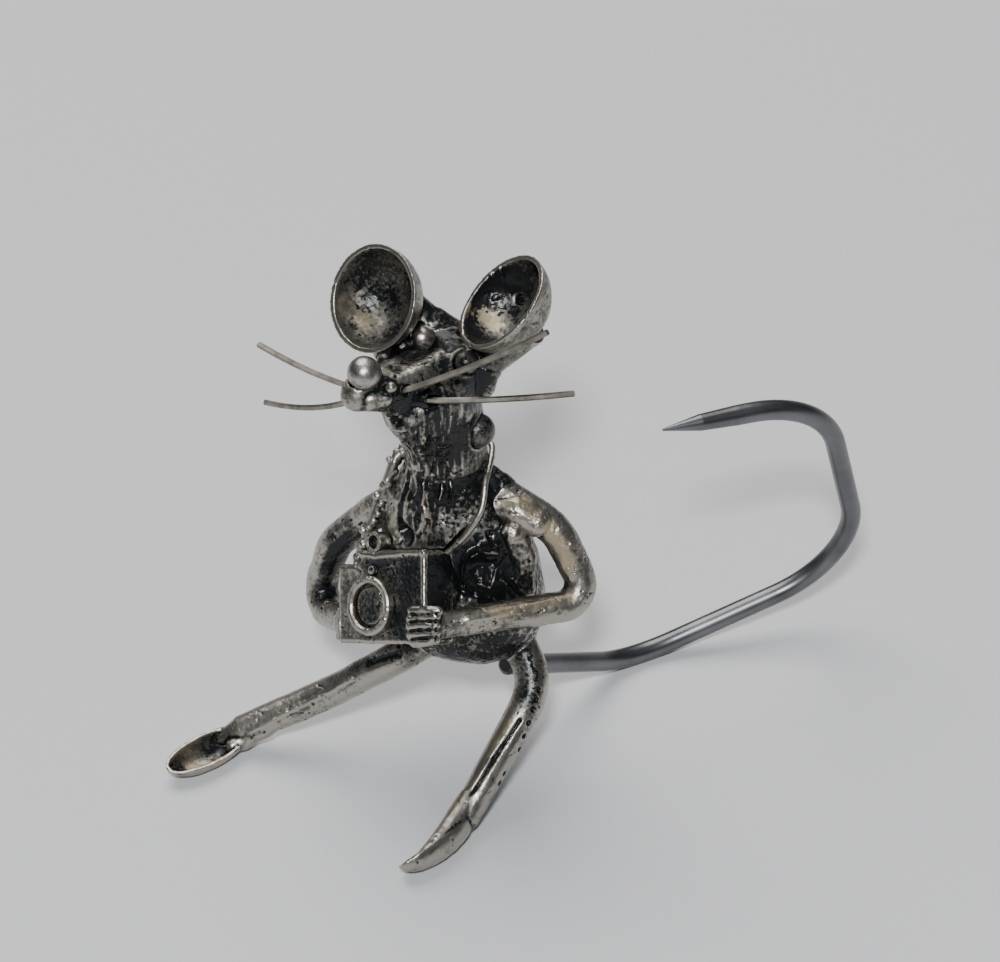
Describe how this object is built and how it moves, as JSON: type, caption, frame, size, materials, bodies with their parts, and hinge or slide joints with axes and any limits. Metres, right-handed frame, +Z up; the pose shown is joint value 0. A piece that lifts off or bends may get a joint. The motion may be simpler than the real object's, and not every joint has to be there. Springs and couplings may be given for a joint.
{
  "type": "mouse figurine",
  "caption": "Standing mouse figurine with cup ears, wire whiskers and a fish-hook tail, holding a small box camera on a neck strap.",
  "frame": {"origin": "middle of the bounding box, on the surface that the figurine stands on", "axes": "+Z up; the mouse faces -Y, its left side is towards +X and its tail runs towards +Y"},
  "size_m": [0.0226, 0.0416, 0.0349],
  "materials": {
    "pewter": "cast pewter, blackened in the hollows and rubbed bright on the high places",
    "dark_pewter": "blackened pewter, glossy",
    "blackened_steel": "semi-gloss gunmetal",
    "whisker_wire": "stiff grey-beige wire, satin",
    "strap_wire": "dulled wire"
  },
  "bodies": {
    "root": {"torso": "pewter", "head": "pewter", "ear_right": "pewter", "ear_left": "pewter", "nose": "pewter", "eye_right": "pewter", "nape_bead": "pewter", "arm_left": "pewter", "arm_right": "pewter", "leg_right": "pewter", "leg_left": "pewter", "camera_body": "pewter", "camera_lens_ring": "pewter", "camera_finder": "pewter", "eye_left": "dark_pewter", "camera_lens": "dark_pewter", "tail_hook": "blackened_steel", "whisker_right_upper": "whisker_wire", "whisker_right_lower": "whisker_wire", "whisker_left_upper": "whisker_wire", "whisker_left_lower": "whisker_wire", "strap": "strap_wire"}
  },
  "joints": []
}
